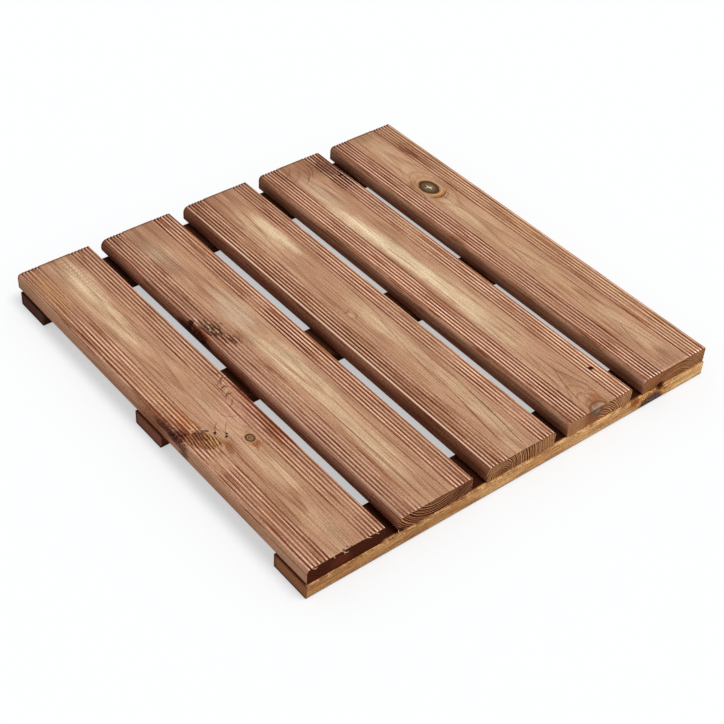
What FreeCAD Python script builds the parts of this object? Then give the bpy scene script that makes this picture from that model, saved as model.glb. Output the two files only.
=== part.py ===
import FreeCAD, Part
import os
from math import cos, pi, sin

from FreeCAD import Vector

# A square slatted deck tile in softwood: five grooved slats stapled from below to three bearers.
# X runs across the slats, Y along them and Z up. The origin is on the ground, at the middle of the tile.

# Slats, and how far each one's width and the gap to its right are off, from left to right
slat_length = 498.0
slat_thickness = 18.0
slat_width = 87.0
slat_gap = 16.0
width_errors = (-0.5, 1.0, -0.5, -1.0, 0.5)
gap_errors = (-2.0, 1.5, 0.0, 0.5)

# Corner radii of each slat's section: top left, top right, bottom right, bottom left
slat_corner_radii = (
    (5.0, 2.5, 8.0, 1.5),
    (8.5, 2.5, 8.0, 8.5),
    (8.0, 4.5, 5.0, 4.0),
    (5.5, 4.0, 7.0, 3.0),
    (5.5, 1.5, 3.0, 3.0),
)
least_flat_side = 1.0

# Anti-slip grooves along the walking face: two bands of them, with a plain band between, and how far to the right
# of each slat's middle the moulding cutter ran
grooves_per_band = 6
groove_pitch = 3.85
groove_width = 2.0
groove_depth = 0.9
plain_band_half_width = 19.1
groove_shifts = (0.6, 2.6, 2.8, 0.8, -0.1)

# Bearers, which lie across under the slats
bearer_thickness = 16.0
front_bearer_width = 48.0
middle_bearer_width = 45.0
back_bearer_width = 46.0
front_bearer_reach = 2.0
back_bearer_inset = 6.0
left_bearer_reach = 1.5
bearer_arris_radius = 2.0
bearer_end_radius = 1.2

# Wire staples, two at each crossing, driven from below with their crowns just under the bearer's surface
staple_crown = 10.5
staple_wire_width = 1.5
staple_wire_thickness = 1.3
staple_bend = 0.8
staple_point = 2.5
staple_turn = 30.0
staple_sink = 0.3
staple_tip_cover = 4.0
staple_from_slat_edge = 20.0
staple_from_bearer_edge = 15.0
staple_clearance = 0.05

# Sizes of the whole tile that follow from these
slat_widths = [slat_width + error for error in width_errors]
slat_gaps = [slat_gap + error for error in gap_errors]
bearer_length = left_bearer_reach + sum(slat_widths) + sum(slat_gaps)
tile_depth = front_bearer_reach + slat_length
tile_left = -bearer_length / 2
tile_front = -tile_depth / 2
slat_front = tile_front + front_bearer_reach
slat_back = slat_front + slat_length
slat_underside = bearer_thickness
walking_height = slat_underside + slat_thickness
staple_tip_height = walking_height - staple_tip_cover

# How far a cutter runs past the face that it starts from
overrun = 1.0


def rounded_section(left, right, bottom, top, radii):
    """The face of a slat's section, standing in the plane of X and Z, from its four corner radii."""
    most = (top - bottom - least_flat_side) / 2
    corners = (
        (left, top, 1, -1, pi / 2),
        (right, top, -1, -1, 0),
        (right, bottom, -1, 1, -pi / 2),
        (left, bottom, 1, 1, -pi),
    )
    ends = []
    arcs = []
    for (x, z, inward_x, inward_z, turn), wanted in zip(corners, radii):
        radius = min(wanted, most)
        centre_x = x + inward_x * radius
        centre_z = z + inward_z * radius
        points = []
        for angle in (turn + pi / 2, turn + pi / 4, turn):
            points.append(Vector(centre_x + radius * cos(angle), 0, centre_z + radius * sin(angle)))
        arcs.append(Part.Arc(*points).toShape())
        ends.append((points[0], points[2]))
    edges = []
    for index, arc in enumerate(arcs):
        next_start = ends[(index + 1) % len(ends)][0]
        edges.append(arc)
        edges.append(Part.LineSegment(ends[index][1], next_start).toShape())
    return Part.Face(Part.Wire(edges))


def grooved(section, middle):
    """A slat's section with the grooves taken out of its walking face, as one moulding profile."""
    radius = (groove_width ** 2 / 4 + groove_depth ** 2) / (2 * groove_depth)
    grooves = []
    for side in (-1, 1):
        for step in range(grooves_per_band):
            from_middle = plain_band_half_width + groove_width / 2 + step * groove_pitch
            centre = Vector(middle + side * from_middle, 0, walking_height + radius - groove_depth)
            circle = Part.makeCircle(radius, centre, Vector(0, 1, 0))
            grooves.append(Part.Face(Part.Wire(circle)))
    return section.cut(grooves).Faces[0]


def slat(index, left):
    """One slat: its moulding profile run along its length, and the blind holes that the staples' legs fill."""
    width = slat_widths[index]
    radii = slat_corner_radii[index]
    blank = rounded_section(left, left + width, slat_underside, walking_height, radii)
    section = grooved(blank, left + width / 2 + groove_shifts[index])
    section.translate(Vector(0, slat_front, 0))
    board = section.extrude(Vector(0, slat_length, 0))
    cutters = []
    for bearer in bearers:
        for x, y in staple_places(left, width, bearer):
            cutters.append(leg_holes(x, y))
    return board.cut(cutters)


def bearer_shape(bearer):
    """One bearer: its long arrises and its ends' upright corners are eased, and its staples are let in."""
    front, depth = bearer
    blank = Part.makeBox(bearer_length, depth, bearer_thickness, Vector(tile_left, front, 0))
    long_arrises = []
    end_corners = []
    for edge in blank.Edges:
        direction = edge.tangentAt(edge.FirstParameter)
        if abs(direction.x) > 0.5:
            long_arrises.append(edge)
        elif abs(direction.z) > 0.5:
            end_corners.append(edge)
    corner_cut = blank.makeFillet(bearer_end_radius, end_corners)
    eased = blank.makeFillet(bearer_arris_radius, long_arrises).common(corner_cut)
    cutters = []
    for slat_left, width in zip(slat_lefts, slat_widths):
        for x, y in staple_places(slat_left, width, bearer):
            cutters.append(staple_groove(x, y))
    return eased.cut(cutters)


def staple_places(left, width, bearer):
    """The two staples of a crossing, set corner to corner so that they don't share one line of grain."""
    front, bearer_width = bearer
    return (
        (left + staple_from_slat_edge, front + staple_from_bearer_edge),
        (left + width - staple_from_slat_edge, front + bearer_width - staple_from_bearer_edge),
    )


def placed(shape, x, y):
    """A shape made about the Z axis, turned as the staples are and moved to its place."""
    shape.rotate(Vector(0, 0, 0), Vector(0, 0, 1), staple_turn)
    shape.translate(Vector(x, y, 0))
    return shape


def middle_box(length, width, bottom, top, middle_x=0.0):
    return Part.makeBox(length, width, top - bottom, Vector(middle_x - length / 2, -width / 2, bottom))


def staple(x, y):
    """A wire staple with bevelled bends and chisel points, crown down."""
    outer = staple_crown / 2
    inner = outer - staple_wire_thickness
    crown_face = staple_sink
    crown_top = crown_face + staple_wire_thickness
    point_start = staple_tip_height - staple_point
    half = (
        (inner, crown_top),
        (inner, point_start),
        (outer, staple_tip_height),
        (outer, crown_face + staple_bend),
        (outer - staple_bend, crown_face),
    )
    outline = [Vector(across, -staple_wire_width / 2, height) for across, height in half]
    outline += [Vector(-point.x, point.y, point.z) for point in reversed(outline)]
    wire = Part.makePolygon(outline + outline[:1])
    return placed(Part.Face(wire).extrude(Vector(0, staple_wire_width, 0)), x, y)


def legs_way(bottom, top):
    """The two straight holes that a staple's legs fill, with their clearance, between two heights."""
    thickness = staple_wire_thickness + 2 * staple_clearance
    width = staple_wire_width + 2 * staple_clearance
    leg_middle = (staple_crown - staple_wire_thickness) / 2
    legs = [middle_box(thickness, width, bottom, top, side * leg_middle) for side in (-1, 1)]
    return Part.makeCompound(legs)


def staple_groove(x, y):
    """What a staple takes out of its bearer: a shallow groove for the crown and a hole for each leg."""
    length = staple_crown + 2 * staple_clearance
    width = staple_wire_width + 2 * staple_clearance
    depth = staple_sink + staple_wire_thickness + staple_clearance
    groove = middle_box(length, width, -overrun, depth)
    return placed(groove.fuse(legs_way(-overrun, bearer_thickness + overrun)), x, y)


def leg_holes(x, y):
    return placed(legs_way(slat_underside - overrun, staple_tip_height + staple_clearance), x, y)


slat_lefts = []
next_left = tile_left + left_bearer_reach
for width, gap in zip(slat_widths, slat_gaps + [0]):
    slat_lefts.append(next_left)
    next_left += width + gap

# Each bearer's near face and width
front_bearer = (tile_front, front_bearer_width)
middle_bearer = (-middle_bearer_width / 2, middle_bearer_width)
back_bearer = (slat_back - back_bearer_inset - back_bearer_width, back_bearer_width)
bearers = (front_bearer, middle_bearer, back_bearer)

parts = {}
for index, left in enumerate(slat_lefts):
    parts[f"slat_{index + 1}"] = slat(index, left)

for name, bearer in zip(("front", "middle", "back"), bearers):
    parts[f"bearer_{name}"] = bearer_shape(bearer)
    staples = []
    for left, width in zip(slat_lefts, slat_widths):
        for x, y in staple_places(left, width, bearer):
            staples.append(staple(x, y))
    parts[f"staples_{name}"] = Part.makeCompound(staples)

os.makedirs("parts", exist_ok=True)
for name, shape in parts.items():
    shape.exportStep(f"parts/{name}.step")
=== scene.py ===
import math
from dataclasses import dataclass

import bmesh
import bpy
import numpy as np
from mathutils import Matrix, Vector


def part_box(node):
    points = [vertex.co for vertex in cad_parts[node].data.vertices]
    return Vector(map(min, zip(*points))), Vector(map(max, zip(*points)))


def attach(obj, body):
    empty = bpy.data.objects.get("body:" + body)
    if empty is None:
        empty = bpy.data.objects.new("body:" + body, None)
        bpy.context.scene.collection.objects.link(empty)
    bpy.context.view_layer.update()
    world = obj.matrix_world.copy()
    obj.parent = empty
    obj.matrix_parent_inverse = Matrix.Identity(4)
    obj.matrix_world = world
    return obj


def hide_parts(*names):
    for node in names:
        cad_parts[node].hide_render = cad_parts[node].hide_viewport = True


# A slatted deck tile: five grooved slats on three sawn bearers, held by staples from below.
# Slats are described in millimetres: across to the right of their own middle, along to the back of the tile's
# middle, and height above the walking face, so below zero inside the wood.

MM = 0.001

# The slats' ends, and how far the inmost grooves lie from the middle of the moulding
NEAR_END, FAR_END = -248.0, 250.0
FIRST_GROOVE, GROOVE_PITCH, GROOVES_PER_BAND, GROOVE_DEPTH = 20.1, 3.85, 6, 0.9

# About how long the mesh's pieces are along, across and up the sides of a slat, and round its upper and lower
# corners. Places nearer than the last of these are the same.
ALONG_STEP, ACROSS_STEP, SIDE_STEP, UPPER_ARC_STEP, LOWER_ARC_STEP, SAME = 2.5, 0.36, 1.0, 0.5, 1.5, 0.01

# How deep wear goes between the hard rings and in dips, on the walking face and the sides, and in torn knots
TOP_RINGS, TOP_DIPS, SIDE_RINGS, SIDE_DIPS, TORN_DEPTH = 0.05, 0.04, 0.1, 0.06, 0.45
SHARP_ANGLE = math.radians(60)

# Half the floor's side and how far it lies below the tile, in metres
FLOOR_HALF_SIDE, FLOOR_DROP = 12, 0.0002
SENSOR_WIDTH = 36

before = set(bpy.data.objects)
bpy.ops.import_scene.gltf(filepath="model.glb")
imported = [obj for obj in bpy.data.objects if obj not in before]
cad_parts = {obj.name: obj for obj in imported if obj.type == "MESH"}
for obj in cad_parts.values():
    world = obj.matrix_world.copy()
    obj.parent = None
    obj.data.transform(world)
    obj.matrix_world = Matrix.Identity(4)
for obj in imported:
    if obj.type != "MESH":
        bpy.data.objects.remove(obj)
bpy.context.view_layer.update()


# Maths that works alike on numpy arrays, for the relief, and on sockets, for the colour

class Value:
    """A socket in a finish. Python's operators on it add Math nodes."""

    def __init__(self, finish, socket):
        self.finish = finish
        self.socket = socket

    def maths(self, operation, *others):
        return self.finish.node("ShaderNodeMath", {"operation": operation}, dict(enumerate((self, *others))))

    def __add__(self, other):
        return self.maths("ADD", other)

    __radd__ = __add__

    def __sub__(self, other):
        return self.maths("SUBTRACT", other)

    def __rsub__(self, other):
        return self.finish.node("ShaderNodeMath", {"operation": "SUBTRACT"}, {0: other, 1: self})

    def __mul__(self, other):
        return self.maths("MULTIPLY", other)

    __rmul__ = __mul__


def alike(on_arrays, operation):
    """A function that does the same on numpy arrays and, as a Math node, on sockets."""
    def work(value, *others):
        if isinstance(value, np.ndarray):
            return on_arrays(value, *others)
        return value.maths(operation, *others)
    return work


scaled = alike(lambda value, factor, plus: value * factor + plus, "MULTIPLY_ADD")
fraction = alike(lambda value: value - np.floor(value), "FRACT")
whole = alike(np.floor, "FLOOR")
size = alike(np.abs, "ABSOLUTE")
root = alike(np.sqrt, "SQRT")
sine = alike(np.sin, "SINE")
exponential = alike(np.exp, "EXPONENT")
larger = alike(np.maximum, "MAXIMUM")
smaller = alike(np.minimum, "MINIMUM")


def bell(squared):
    """1 at a middle and falling to 0 around it, from a squared distance."""
    return exponential(0.0 - squared)


def ramp(value, start, end):
    """A smooth step from 0 at start to 1 at end, which may be the lower of the two."""
    if isinstance(value, np.ndarray):
        part = np.clip((value - start) / (end - start), 0, 1)
        return part * part * (3 - 2 * part)
    rising = {"From Min": start, "From Max": end, "To Min": 0.0, "To Max": 1.0}
    falling = {"From Min": end, "From Max": start, "To Min": 1.0, "To Max": 0.0}
    inputs = {"Value": value, **(rising if start < end else falling)}
    return value.finish.node("ShaderNodeMapRange", {"interpolation_type": "SMOOTHSTEP"}, inputs)


class Finish:
    """A material, or the world, that is being built."""

    def __init__(self, name, kind="materials"):
        self.made = getattr(bpy.data, kind).new(name)
        self.made.use_nodes = True
        self.tree = self.made.node_tree
        self.tree.nodes.clear()

    def node(self, kind, settings, inputs, output=0):
        """Any node: its settings are set first, then its sockets get values or links. Gives one output."""
        made = self.tree.nodes.new(kind)
        for setting, value in settings.items():
            setattr(made, setting, value)
        for key, value in inputs.items():
            if isinstance(value, Value):
                self.tree.links.new(value.socket, made.inputs[key])
            else:
                made.inputs[key].default_value = value
        return Value(self, made.outputs[output]) if made.outputs else None

    def place(self):
        """The across, along and height of a point in the object's own millimetres."""
        spot = self.node("ShaderNodeTexCoord", {}, {}, "Object")
        parts = [self.node("ShaderNodeSeparateXYZ", {}, {0: spot}, axis) for axis in "XYZ"]
        return [part * (1 / MM) for part in parts]

    def noise(self, x, y, z, detail, roughness):
        """Smooth noise between 0 and 1 with features about one unit of x, y and z across."""
        spot = self.node("ShaderNodeCombineXYZ", {}, {0: x, 1: y, 2: z})
        inputs = {"Vector": spot, "Scale": 1.0, "Detail": detail, "Roughness": roughness}
        return self.node("ShaderNodeTexNoise", {}, inputs)

    def mix(self, amount, first, second, blend="MIX"):
        """Colours mixed by an amount between 0 and 1."""
        settings = {"data_type": "RGBA", "blend_type": blend}
        return self.node("ShaderNodeMix", settings, {0: amount, 6: first, 7: second}, 2)

    def tinge(self, amount, colour, factor):
        """A colour partly multiplied by another."""
        return self.mix(amount, colour, self.mix(1.0, colour, factor, "MULTIPLY"))

    def lit(self, colour, amount):
        """A colour made lighter or darker."""
        return self.node("ShaderNodeVectorMath", {"operation": "SCALE"}, {0: colour, 3: amount})

    def done(self, shader, kind="ShaderNodeOutputMaterial"):
        self.node(kind, {}, {"Surface": shader})
        return self.made

    def wood(self, colour, roughness, relief, depth):
        """Ends the material as matt wood. The relief is in millimetres times depth."""
        bump = self.node("ShaderNodeBump", {}, {"Strength": 1.0, "Distance": depth * MM, "Height": relief})
        inputs = {"Base Color": colour, "Roughness": roughness, "Normal": bump, "Specular IOR Level": 0.03}
        return self.done(self.node("ShaderNodeBsdfPrincipled", {}, inputs))


def tint(red, green, blue):
    """A colour from its eight-bit screen values, by the usual screen curve."""
    shares = [part / 255 for part in (red, green, blue)]
    return (*[((share + 0.055) / 1.055) ** 2.4 if share > 0.04 else share / 12.92 for share in shares], 1.0)


# What each slat's wood is like

@dataclass
class Knot:
    """A knot on the walking face. Slant is how far it runs along for each millimetre across, and push is how
    many rings it moves aside, as far off as its reach, in knots."""
    look: str
    across: float
    along: float
    half_across: float
    half_along: float
    slant: float = 0.0
    push: float = 0.0
    reach: float = 1.9


@dataclass
class Patch:
    """A soft-edged place of another colour. Slant is how far it moves across for each millimetre along, depth
    is how far down it reaches, and specks is how strong the pale specks in it are."""
    across: float
    along: float
    half_across: float
    half_along: float
    colour: tuple
    amount: float
    slant: float = 0.0
    depth: float = math.inf
    specks: float = 0.0


@dataclass
class Stroke:
    """A thin line, from its middle. Turn is its angle from straight across, towards the back, and bow is how
    far it bends aside at its ends."""
    across: float
    along: float
    half_length: float
    turn: float
    bow: float = 0.0
    half_width: float = 0.55
    amount: float = 0.6
    colour: tuple = tint(76, 36, 22)


@dataclass
class Worn:
    """A place where the grooves are worn shallow, or cut deeper where the amount is below 0."""
    across: float
    along: float
    half_across: float
    half_along: float
    amount: float


@dataclass
class End:
    """A slat's end grain. Thin is how thin the light lines of its rings are, its spots' along is a height,
    and its last field is how strong the painted highlight on the crests' tips above it is."""
    dark: tuple
    light: tuple
    thin: float
    spots: tuple
    tip_highlight: float = 0.3


@dataclass
class Slat:
    """A slat. Climb is how far its pith nears the walking face for each millimetre along, and lean how far
    its rings run across, right of the left grooves. Grooving is how strongly its grooves show: left inner and
    outer, right inner and outer. Patches lie under the grooves' colour, and stained places over it, where
    their colour is a factor; one of these on the first slat is painted shade. Ripples are places where the
    planer chattered."""
    node: str
    corner_radii: tuple
    groove_shift: float
    pith_across: float
    pith_height: float
    climb: float
    ring_width: float
    seed: float
    grooving: tuple
    shaded_side: float
    patches: tuple
    stains_and_shade: tuple
    strokes: tuple
    worn: tuple
    end: End
    knots: tuple = ()
    ripples: tuple = ()
    lean: float = 0.0


PALE = tint(210, 176, 141)
CREAM = tint(234, 209, 172)
GREYED = tint(200, 172, 144)
UMBER = tint(88, 48, 32)
BROWN = tint(170, 122, 92)
FIBRE_AND_HIGHLIGHT = tint(240, 208, 184)
# Pale torn fibres; the same colour also paints a highlight along some slats' left arris
SOOT = tint(44, 20, 14)

# Factors on a colour, on the wood around them: a groove's dark, partly stain and partly painted shade; a
# light crest, a painted highlight; the shaded side, painted shade; and thin lines
SHADE_AND_STAIN = (0.42, 0.26, 0.18, 1.0)
CREST_HIGHLIGHT = (1.62, 1.78, 2.15, 1.0)
SHADED = (0.46, 0.31, 0.28, 1.0)
DARK_LINE = (0.48, 0.30, 0.22, 1.0)
LIGHT_LINE = (1.35, 1.42, 1.6, 1.0)
LATE_WOOD = (0.58, 0.42, 0.36, 1.0)
RUSTY = (0.56, 0.33, 0.24, 1.0)
# Soot-dark marks; the same factor also paints shadow at the foot of the bearers
SOOT_AND_SHADOW = (0.15, 0.075, 0.055, 1.0)
BARK = (0.2, 0.1, 0.09, 1.0)
DARKER = (0.83, 0.81, 0.8, 1.0)
LIGHTER = (1.14, 1.16, 1.15, 1.0)
# A painted highlight for the crests' tips at the near cut edge
CUT_EDGE_HIGHLIGHT = (1.5, 1.66, 1.95, 1.0)
WORN_EDGE = (0.3, 0.17, 0.12, 1.0)

# The torn knots' dark and light tones, and how far they cover the wood
KNOT_TONES = {
    "spike": (tint(80, 40, 24), tint(206, 154, 102), 0.95),
    "smear": (tint(56, 26, 18), tint(150, 108, 82), 0.85),
    "rough": (tint(70, 32, 24), tint(162, 116, 96), 0.65),
}

SLATS = (Slat(
    "slat_1", corner_radii=(5, 2.5, 8, 1.5), groove_shift=0.6, pith_across=-2, pith_height=46, climb=0.012,
    ring_width=2.2, seed=1, grooving=(0.7, 0.85, 0.5, 1), shaded_side=0.22,
    knots=(
        Knot("round", 12, -88, 4.6, 5.2, push=-1.6, reach=2.6),
        Knot("spike", -26, -66, 15.5, 13.5, slant=-0.55, push=1.6, reach=1.5),
    ),
    patches=(
        Patch(-3, 160, 11, 95, PALE, 0.85), Patch(11, 205, 7, 50, PALE, 0.8),
        Patch(3, 175, 7.5, 70, CREAM, 0.65, -0.045), Patch(-5, 232, 8, 18, PALE, 0.6),
        Patch(3, -120, 7, 46, PALE, 0.5), Patch(2, 120, 9, 70, PALE, 0.5), Patch(10, -140, 7, 34, PALE, 0.8),
        Patch(9, -45, 12, 52, PALE, 0.45), Patch(0, -215, 14, 45, PALE, 0.35),
        Patch(-4, -66, 9, 14, PALE, 0.4), Patch(18, -50, 26, 26, tint(206, 158, 134), 0.5),
        Patch(-28, 0, 6, 70, tint(186, 134, 86), 0.35), Patch(-28, 205, 8, 46, tint(186, 138, 84), 0.4),
        Patch(-24, -35, 7, 20, tint(220, 158, 102), 0.4),
    ),
    ripples=(Patch(7, 203, 11, 48, tint(236, 212, 178), 0.55),),
    stains_and_shade=(
        Patch(38, -85, 7, 34, RUSTY, 0.65), Patch(33, -95, 8, 20, RUSTY, 0.35),
        Patch(39.8, -30, 2.2, 34, RUSTY, 0.8), Patch(-35, -38, 6, 26, RUSTY, 0.6),
        Patch(-36, -53, 6, 12, (0.36, 0.2, 0.15, 1), 1, specks=0.3),
        Patch(-41, -47, 6.5, 16, BARK, 1, depth=10, specks=0.9),
        Patch(-43, -28, 4, 22, BARK, 0.9, depth=8, specks=0.8),
        # The first patch on the next line is painted shade, under a torn lip on the left side.
        Patch(-44.5, -60, 2.8, 9, (0.34, 0.24, 0.26, 1), 0.9), Patch(-2, -232, 14, 22, DARKER, 0.7),
        Patch(-41, -10, 5, 34, RUSTY, 0.8), Patch(-11, -88, 5.5, 12, (0.66, 0.46, 0.33, 1), 0.85, 0.4),
        Patch(12, -96, 5.5, 8, (0.62, 0.42, 0.26, 1), 1), Patch(13, -82, 4, 4, RUSTY, 0.4),
    ),
    strokes=(
        Stroke(-3, -247, 1.4, 0, 0, 0.9, 0.7, SOOT), Stroke(1.5, -246, 1, 0, 0, 0.8, 0.7, SOOT),
        Stroke(4.5, -247.5, 1, 0, 0, 0.8, 0.6, SOOT),
        Stroke(40.9, -72, 52, 90, 0, 1.2, 0.9, tint(112, 50, 22)),
        Stroke(35.6, -86, 26, 90, 0, 0.7, 0.8, tint(104, 44, 20)),
        Stroke(31.8, -92, 18, 90, 0, 0.7, 0.7, tint(104, 44, 20)), Stroke(-7, -58, 7, 52, -1.5, 0.6, 0.55),
        Stroke(-1, -25, 22, 88, 0.6, 0.5, 0.4), Stroke(0, -65, 11, 52, -1, 0.5, 0.45),
        Stroke(13, -54, 8, -35, 3, 0.5, 0.4), Stroke(-16, -57, 2.2, -50, 0, 1, 0.9, SOOT),
        Stroke(-27, -53, 2.2, -20, 0, 0.9, 0.8, SOOT), Stroke(-33, -50, 2, -20, 0, 0.9, 0.7, SOOT),
        Stroke(-21, -57, 2, -40, 0, 0.9, 0.7, SOOT), Stroke(-11, -64, 1.9, 60, 0, 1.1, 1, SOOT),
        Stroke(-5, -74, 1.6, 45, 0, 1.1, 1, SOOT), Stroke(-2.6, -71, 1.4, 45, 0, 0.9, 1, SOOT),
        Stroke(-24.5, -58, 7, 70, 0, 4.5, 0.5, tint(74, 38, 32)),
        Stroke(-26, -48, 3, -30, 0, 0.5, 0.45, FIBRE_AND_HIGHLIGHT),
        Stroke(-40, -58.5, 4, -50, 0, 0.6, 0.5, tint(202, 146, 114)),
        Stroke(-18, -52.5, 2, -30, 0, 0.5, 0.4, FIBRE_AND_HIGHLIGHT),
        Stroke(-11, -80, 9, 108, 0, 1.6, 0.35, tint(140, 88, 56)), Stroke(29, -27, 5, 12, -3, 1, 0.75),
        Stroke(32.5, -16, 4, -12, -2.6, 1.1, 0.7), Stroke(36.5, -5, 3.6, 22, -2.4, 1.1, 0.7),
        Stroke(38, 2.5, 2.4, 4, -1.4, 1, 0.6), Stroke(25, -40, 6, 40, 1.5, 0.8, 0.5),
        Stroke(24.5, -28, 6, 80, 0.5, 0.7, 0.5), Stroke(27.4, -19, 4, 95, 0.5, 0.7, 0.6),
        Stroke(33.3, -9, 3, 76, 0.5, 0.8, 0.6), Stroke(36.2, 6, 7, 90, 0, 0.8, 0.6),
        Stroke(31.5, -22, 2, 60, 0, 0.6, 0.5, FIBRE_AND_HIGHLIGHT), Stroke(35, -11, 2, 80, 0, 0.6, 0.4, FIBRE_AND_HIGHLIGHT),
        Stroke(29.8, -10, 3, 40, 1, 0.7, 0.5), Stroke(11, 72, 56, 99, 2, 0.5, 0.3),
        Stroke(13, 120, 62, 97, 2.5, 0.5, 0.35), Stroke(8, 205, 40, 91, -1, 0.5, 0.35),
        Stroke(-12, -150, 55, 87, 0, 0.5, 0.35), Stroke(-14, 60, 56, 90, 1, 0.6, 0.45),
    ),
    worn=(
        Worn(-30, -100, 16, 14, 0.75), Worn(-28, 205, 16, 55, 0.5), Worn(28, -24, 11, 34, 0.9),
        Worn(30, -205, 14, 26, 0.5), Worn(-28, 30, 12, 50, 0.25),
    ),
    end=End(tint(58, 22, 10), tint(80, 34, 17), 0, (Patch(-6, -10, 14, 9, tint(98, 46, 28), 0.6),)),
), Slat(
    "slat_2", corner_radii=(8.5, 2.5, 8, 8.5), groove_shift=2.6, pith_across=3, pith_height=27, climb=0.004,
    ring_width=2.3, seed=2, grooving=(0.4, 0.9, 0.9, 1.25), shaded_side=0.85,
    knots=(Knot("smear", -31, 60, 8.5, 12, slant=-0.4, push=1.4, reach=2.2),),
    patches=(
        Patch(1, -120, 13, 150, PALE, 0.75), Patch(-3, -20, 9, 75, CREAM, 0.5),
        Patch(11, -32, 8, 66, CREAM, 0.5), Patch(6, 108, 10, 26, CREAM, 0.2),
        Patch(-9, -170, 6, 50, CREAM, 0.35), Patch(5, 70, 17, 42, GREYED, 0.8),
        Patch(5, 180, 9, 35, PALE, 0.4), Patch(-8, 165, 10, 30, BROWN, 0.4),
        Patch(-12, 195, 7, 14, PALE, 0.35), Patch(-40, 62, 4, 16, tint(188, 112, 66), 0.8),
    ),
    ripples=(Patch(-4, 188, 12, 26, PALE, 0.4),),
    stains_and_shade=(
        Patch(-21, 36, 7, 13, RUSTY, 0.4, -0.2), Patch(-26, 44, 8, 14, RUSTY, 0.4),
        Patch(-13, 38, 5, 10, RUSTY, 0.3), Patch(-43, 64, 4.2, 24, BARK, 1, specks=0.4),
        Patch(-41, 82, 4.5, 6, BARK, 1, specks=0.6), Patch(-44, 90, 3, 16, SOOT_AND_SHADOW, 0.8),
        Patch(-45, 20, 5, 60, RUSTY, 0.6), Patch(-32, 0, 13, 500, (0.87, 0.86, 0.88, 1), 1),
        Patch(-11, 28, 8, 22, DARKER, 0.9), Patch(-9, 190, 11, 62, (0.78, 0.82, 0.86, 1), 0.9),
        Patch(34, -20, 11, 40, LIGHTER, 0.7), Patch(-17.5, 63, 2, 3, SOOT_AND_SHADOW, 0.6),
        Patch(6, -16, 9, 24, DARKER, 0.6), Patch(-4, -228, 9, 24, DARKER, 0.6),
    ),
    strokes=(
        Stroke(-8, -150, 90, 90, 1, 0.6, 0.5), Stroke(13, -160, 80, 90, -1.5, 0.6, 0.5),
        Stroke(-19.3, 33, 5, 91, 0.3, 0.6, 0.35, FIBRE_AND_HIGHLIGHT), Stroke(-23.2, 43, 4, 91, 0.3, 0.6, 0.35, FIBRE_AND_HIGHLIGHT),
        Stroke(-27.1, 55, 3, 95, 0.6, 0.6, 0.6, FIBRE_AND_HIGHLIGHT), Stroke(-30.6, 66, 3, 80, -0.6, 0.6, 0.6, FIBRE_AND_HIGHLIGHT),
        Stroke(-26.3, 70, 2.4, 100, 0, 0.6, 0.6, FIBRE_AND_HIGHLIGHT), Stroke(-38.5, 79, 1.2, 30, 0, 0.4, 0.6, FIBRE_AND_HIGHLIGHT),
        Stroke(-33, 60, 2, 60, 0, 0.7, 0.6, FIBRE_AND_HIGHLIGHT), Stroke(-35, 82, 4, 88, 0, 0.6, 0.6, FIBRE_AND_HIGHLIGHT),
        Stroke(-28, 62, 2.5, 20, 0, 0.8, 0.65, SOOT), Stroke(-34, 68, 2.5, 70, 0, 0.8, 0.65, SOOT),
        Stroke(-24, 56, 2.2, 110, 0, 0.8, 0.6, SOOT), Stroke(-31, 52, 2.2, 80, 0, 0.8, 0.65, SOOT),
        # The long pale stroke at -40.3 on the next line is a painted highlight along the left arris.
        Stroke(-38, 70, 4, 90, 0, 0.8, 0.7, SOOT), Stroke(-40.3, -110, 140, 90, 0, 0.6, 0.2, FIBRE_AND_HIGHLIGHT),
        Stroke(42.2, 20, 200, 90, 0, 0.9, 0.45, tint(160, 96, 54)), Stroke(-21.5, 37, 9, 89, 0.5, 1, 0.9),
        Stroke(-24, 34, 8, 92, 0.6, 0.8, 0.7), Stroke(-29, 41, 8, 88, 1, 1, 0.9),
        Stroke(-33, 54, 10, 94, 1.2, 1, 0.9), Stroke(-33.5, 76, 6, 88, 0, 1, 0.9),
        Stroke(-26, 52, 6, 84, 1, 0.9, 0.8), Stroke(-29, 72, 7, 90, -0.8, 0.9, 0.85),
        Stroke(-25.4, 64, 6, 92, 0.6, 0.8, 0.7), Stroke(-17.8, 34, 8, 91, 0.4, 0.9, 0.8),
        Stroke(-21.6, 64, 9, 91, 0.8, 0.9, 0.8), Stroke(-36.5, 59, 7, 94, 0, 0.7, 0.6),
        Stroke(-1, 175, 30, 92, -2, 0.6, 0.45),
    ),
    worn=(
        Worn(28, 10, 14, 40, -0.5), Worn(-28, -50, 16, 75, 0.4), Worn(-28, -235, 16, 25, 0.4),
        Worn(30, 70, 14, 18, 0.5), Worn(30, 185, 14, 28, 0.35),
    ),
    end=End(tint(70, 30, 18), tint(198, 138, 94), 0.66, (
        Patch(-40, -15, 7, 5, tint(50, 24, 16), 0.9), Patch(34, -8, 14, 12, tint(78, 40, 28), 0.35),
        Patch(-24, -14, 16, 5, tint(120, 70, 44), 0.4),
    )),
), Slat(
    "slat_3", corner_radii=(8, 4.5, 5, 4), groove_shift=2.8, pith_across=-18, pith_height=-17, climb=0.006,
    lean=0.06, ring_width=2.3, seed=3, grooving=(0.4, 2.1, 0.8, 1.05), shaded_side=0.9,
    patches=(
        Patch(9, -55, 9, 90, PALE, 0.75, 0.03), Patch(1, 165, 17, 62, PALE, 0.75),
        Patch(12, 140, 6, 38, CREAM, 0.75), Patch(-8, -3, 3, 5, PALE, 0.6),
        Patch(7, -175, 11, 72, PALE, 0.75), Patch(3, -25, 9, 30, PALE, 0.6), Patch(4, 10, 6, 20, PALE, 0.6),
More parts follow.
